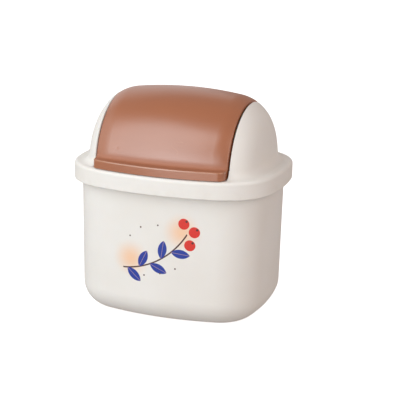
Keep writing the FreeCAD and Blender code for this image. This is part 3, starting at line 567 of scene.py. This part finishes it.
DENT_PLACE = Vector((-35, -53.6, 134)) * MM
DENT_RADIUS = 2.4 * MM
DENT_DEPTH = 0.12 * MM
SCUFF_PLACE = Vector((16, -53, 140)) * MM
SCUFF_RADIUS = 9 * MM
SCUFF_LINE_SIZE = 2.2 * MM
SCUFF_LINE_WIDTH = 0.02
SCUFF_STRETCH = (4, 1, 4)
SCUFF_TINT = 0.5
SCUFF_DULLING = 0.15
FLOW_SIZE = 38 * MM
FLOW_STRETCH = (2, 1, 1)
BROWN_SCRATCH_SIZE = 1.4 * MM
LEVEL_STRETCH = (9, 1, 1)
LIP_TOP = HINGE.z + 8.7 * MM
LIP_EDGE_HEIGHT = 1.6 * MM
LIP_RUB_SIZE = 4 * MM
# Strength of the paler tone on the lip's top edge: a painted highlight as well as rubbing
LIP_RUB_AND_HIGHLIGHT_TINT = 1.2
LIP_POLISH = 0.08
ROOT_FULL_HEIGHT = 1.5 * MM
ROOT_HEIGHT = 6 * MM
ROOT_DULLING = 0.35


def brown_plastic(name, look):
    """Satin brown plastic with flow patches, a rubbed lip whose top edge carries a paler painted highlight,
    a dull root, a sink mark and fine scuffs.
    """
    finish = Finish(name)
    cloud = finish.noise(FLOW_SIZE, detail=3, stretch=FLOW_STRETCH)
    above_lip = finish.axis(finish.place, "Z") - LIP_TOP
    top = above_lip.rise(-LIP_EDGE_HEIGHT / 4, 0)
    # Band along the lip's top front edge that gets the paler tone: part rubbed wear, part painted highlight
    edge = above_lip.rise(-LIP_EDGE_HEIGHT, -LIP_EDGE_HEIGHT / 2) * (1 - top)
    root = above_lip.fall(ROOT_FULL_HEIGHT, ROOT_HEIGHT) * top
    scratch = hairlines(finish, BROWN_SCRATCH_SIZE, LEVEL_STRETCH)
    patch = finish.vector("DISTANCE", finish.place, SCUFF_PLACE, output="Value")
    patch = patch.fall(SCUFF_RADIUS / 3, SCUFF_RADIUS)
    streak = abs(finish.noise(SCUFF_LINE_SIZE, detail=1, stretch=SCUFF_STRETCH) - NOISE_MEAN)
    scuff = streak.fall(0, SCUFF_LINE_WIDTH) * patch
    dent = finish.vector("DISTANCE", finish.place, DENT_PLACE, output="Value").fall(0, DENT_RADIUS)
    # Painted highlight along the lip's top edge, broken up by noise like rubbed wear
    rub = edge * finish.noise(LIP_RUB_SIZE, detail=3) * LIP_RUB_AND_HIGHLIGHT_TINT
    colour = finish.mix(look.colour, look.deep, cloud.rise(*CLOUD_RANGE))
    colour = finish.mix(colour, look.rubbed, rub.most(scuff * SCUFF_TINT))
    height = satin_grain(finish, look) - dent * DENT_DEPTH - scratch * SCRATCH_DEPTH
    roughness = look.roughness + (cloud - NOISE_MEAN) * CLOUD_DULLING + scratch * SCRATCH_DULLING
    roughness = roughness + scuff * SCUFF_DULLING - edge * LIP_POLISH + root * ROOT_DULLING
    finish.shade({
        "Base Color": colour,
        "Roughness": roughness,
        "Normal": finish.bump(height),
        "IOR": GLOSSY_PLASTIC_IOR,
        "Specular IOR Level": GLOSSY_SPECULAR_LEVEL,
    })
    return finish.material


PIN_MOTTLE_SIZE = 1.5 * MM
PIN_MOTTLE_RANGE = (0.4, 0.7)
PIN_MOTTLE_SHADE = 0.9
PIN_MOTTLE_DULLING = 0.15
RING_DEPTH = 0.004 * MM
RING_DULLING = 0.04


def pin_plastic(name, look):
    """Hard plastic with turning rings along the pin and fine mottling."""
    finish = Finish(name)
    along = finish.axis(finish.place, "X")
    ring = finish.node("ShaderNodeMath", {"operation": "SINE"}, {0: along * (2 * math.pi / look.ring_pitch)})
    mottle = finish.noise(PIN_MOTTLE_SIZE, detail=3)
    darker = tuple(level * PIN_MOTTLE_SHADE for level in look.colour)
    colour = finish.mix(look.colour, darker, mottle.rise(*PIN_MOTTLE_RANGE))
    roughness = look.roughness + (mottle - NOISE_MEAN) * PIN_MOTTLE_DULLING + ring * RING_DULLING
    finish.shade({
        "Base Color": colour,
        "Roughness": roughness,
        "Normal": finish.bump(ring * RING_DEPTH),
        "IOR": PLASTIC_IOR,
    })
    return finish.material


def dress(node, material):
    """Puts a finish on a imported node."""
    slots = frame["nodes"][node].material_slots
    if not slots:
        raise RuntimeError(f"{node} has no material slot to put {material.name} in")
    for slot in slots:
        slot.material = material


# Operators

class TRASHCAN_OT_dress_bucket(bpy.types.Operator):
    """Give the bucket its cream plastic and printed front"""

    bl_idname = "trash_can.dress_bucket"
    bl_label = "Dress Bucket"

    def execute(self, context):
        settings = context.scene.trash_can
        dress("bucket", cream_plastic("bucket_cream", settings.cream, bucket_wear, settings.sprig))
        return {"FINISHED"}


class TRASHCAN_OT_dress_lid_cover(bpy.types.Operator):
    """Give the lid cover its cream plastic"""

    bl_idname = "trash_can.dress_lid_cover"
    bl_label = "Dress Lid Cover"

    def execute(self, context):
        dress("lid_cover", cream_plastic("cover_cream", context.scene.trash_can.cream, cover_wear))
        return {"FINISHED"}


class TRASHCAN_OT_dress_flap(bpy.types.Operator):
    """Give the flap its brown plastic"""

    bl_idname = "trash_can.dress_flap"
    bl_label = "Dress Flap"

    def execute(self, context):
        dress("flap", brown_plastic("flap_brown", context.scene.trash_can.brown))
        return {"FINISHED"}


class TRASHCAN_OT_dress_hinge_pins(bpy.types.Operator):
    """Give the two hinge pins their hard plastic"""

    bl_idname = "trash_can.dress_hinge_pins"
    bl_label = "Dress Hinge Pins"

    def execute(self, context):
        material = pin_plastic("pin_white", context.scene.trash_can.pins)
        for node in sorted(frame["nodes"]):
            if "pin" in node:
                dress(node, material)
        return {"FINISHED"}


FLOOR_SIDE = 12
FLOOR_MOTTLE_SIZE = 60 * MM
FLOOR_MOTTLE_SHADE = 0.985
FLOOR_ROUGHNESS = 0.85
WHITE = (1, 1, 1, 1)


class SoftLight(NamedTuple):
    """Where a soft light stands, in degrees and metres, and how large it is."""

    azimuth: float
    elevation: float
    distance: float
    width: float
    height: float


SOFT_LIGHTS = {
    "key": SoftLight(azimuth=-27, elevation=33, distance=1.6, width=1.1, height=2),
    "front": SoftLight(azimuth=0, elevation=8, distance=1.6, width=1.2, height=1),
    "left": SoftLight(azimuth=-75, elevation=25, distance=1.6, width=1.2, height=1.5),
    "right": SoftLight(azimuth=75, elevation=25, distance=1.6, width=1.2, height=1.5),
    "back": SoftLight(azimuth=220, elevation=25, distance=1.9, width=1.6, height=1.6),
}


def add_floor(studio):
    """A wide pale floor with the faintest mottling."""
    half = FLOOR_SIDE / 2
    mesh = bpy.data.meshes.new("floor")
    corners = [(-half, -half, 0), (half, -half, 0), (half, half, 0), (-half, half, 0)]
    mesh.from_pydata(corners, [], [range(len(corners))])
    floor = bpy.data.objects.new("floor", mesh)
    bpy.context.scene.collection.objects.link(floor)
    finish = Finish("floor_paper")
    shade = tuple(level * FLOOR_MOTTLE_SHADE for level in studio.floor)
    colour = finish.mix(studio.floor, shade, finish.noise(FLOOR_MOTTLE_SIZE, detail=4))
    finish.shade({
        "Base Color": colour,
        "Roughness": FLOOR_ROUGHNESS,
        "Emission Color": WHITE,
        "Emission Strength": studio.floor_light,
    })
    mesh.materials.append(finish.material)
    floor.visible_diffuse = False
    floor.visible_glossy = False


def add_light(name, soft_light, power, colour):
    """A soft light that faces the middle of the trash can."""
    light = bpy.data.lights.new(name, "AREA")
    light.shape = "RECTANGLE"
    light.size = soft_light.width
    light.size_y = soft_light.height
    light.energy = power
    light.color = colour
    lamp = bpy.data.objects.new(name, light)
    towards = direction(math.radians(soft_light.azimuth), math.radians(soft_light.elevation))
    place = towards * soft_light.distance
    lamp.location = place
    lamp.rotation_euler = (Vector((0, 0, HEIGHT / 2)) - place).to_track_quat("-Z", "Y").to_euler()
    bpy.context.scene.collection.objects.link(lamp)


def direction(azimuth, elevation):
    """The way from the object to something at an azimuth and elevation, with the front at 0."""
    level = math.cos(elevation)
    return Vector((math.sin(azimuth) * level, -math.cos(azimuth) * level, math.sin(elevation)))


def add_camera(studio):
    """A camera that looks at the target from the set azimuth, elevation and distance."""
    camera = bpy.data.cameras.new("camera")
    camera.lens = studio.lens
    camera.clip_end = FLOOR_SIDE
    back = direction(studio.azimuth, studio.elevation)
    view = bpy.data.objects.new("camera", camera)
    turn = (-back).to_track_quat("-Z", "Y").to_matrix() @ Matrix.Rotation(studio.roll, 3, "Z")
    view.matrix_world = Matrix.Translation(Vector(studio.target) + back * studio.distance) @ turn.to_4x4()
    bpy.context.scene.collection.objects.link(view)
    bpy.context.scene.camera = view


class TRASHCAN_OT_set_stage(bpy.types.Operator):
    """Lay the floor and set the lights and the camera"""

    bl_idname = "trash_can.set_stage"
    bl_label = "Set Stage"

    def execute(self, context):
        studio = context.scene.trash_can.studio
        add_floor(studio)
        for name, soft_light in SOFT_LIGHTS.items():
            colour = studio.warm if name == "right" else studio.cool
            add_light(name, soft_light, getattr(studio, name), colour)
        world = bpy.data.worlds.new("studio")
        world.use_nodes = True
        background = world.node_tree.nodes["Background"]
        background.inputs["Color"].default_value = tint(studio.warm)
        background.inputs["Strength"].default_value = studio.ambience
        context.scene.world = world
        context.scene.view_settings.view_transform = "Standard"
        add_camera(studio)
        return {"FINISHED"}


STEPS = (
    TRASHCAN_OT_dress_bucket,
    TRASHCAN_OT_dress_lid_cover,
    TRASHCAN_OT_dress_flap,
    TRASHCAN_OT_dress_hinge_pins,
    TRASHCAN_OT_set_stage,
)


class TRASHCAN_PT_sidebar(bpy.types.Panel):
    """The trash can's operators and settings"""

    bl_idname = "TRASHCAN_PT_sidebar"
    bl_label = "Trash Can"
    bl_space_type = "VIEW_3D"
    bl_region_type = "UI"
    bl_category = "Trash Can"

    def draw(self, context):
        column = self.layout.column()
        for step in STEPS:
            column.operator(step.bl_idname)
        settings = context.scene.trash_can
        for group in settings.bl_rna.properties:
            if group.type == "POINTER":
                self.draw_group(getattr(settings, group.identifier), group.identifier)

    def draw_group(self, group, title):
        box = self.layout.box()
        box.label(text=title.title())
        for setting in group.bl_rna.properties:
            if setting.identifier not in ("name", "rna_type"):
                box.prop(group, setting.identifier)


CLASSES = (
    CreamSettings, BrownSettings, PinSettings, PrintSettings, StudioSettings, TrashCanSettings,
    *STEPS, TRASHCAN_PT_sidebar,
)


def register():
    for each in CLASSES:
        bpy.utils.register_class(each)
    bpy.types.Scene.trash_can = PointerProperty(type=TrashCanSettings)


def unregister():
    del bpy.types.Scene.trash_can
    for each in reversed(CLASSES):
        bpy.utils.unregister_class(each)


def main():
    register()
    bpy.ops.trash_can.dress_bucket()
    bpy.ops.trash_can.dress_lid_cover()
    bpy.ops.trash_can.dress_flap()
    bpy.ops.trash_can.dress_hinge_pins()
    bpy.ops.trash_can.set_stage()


if __name__ == "__main__":
    main()
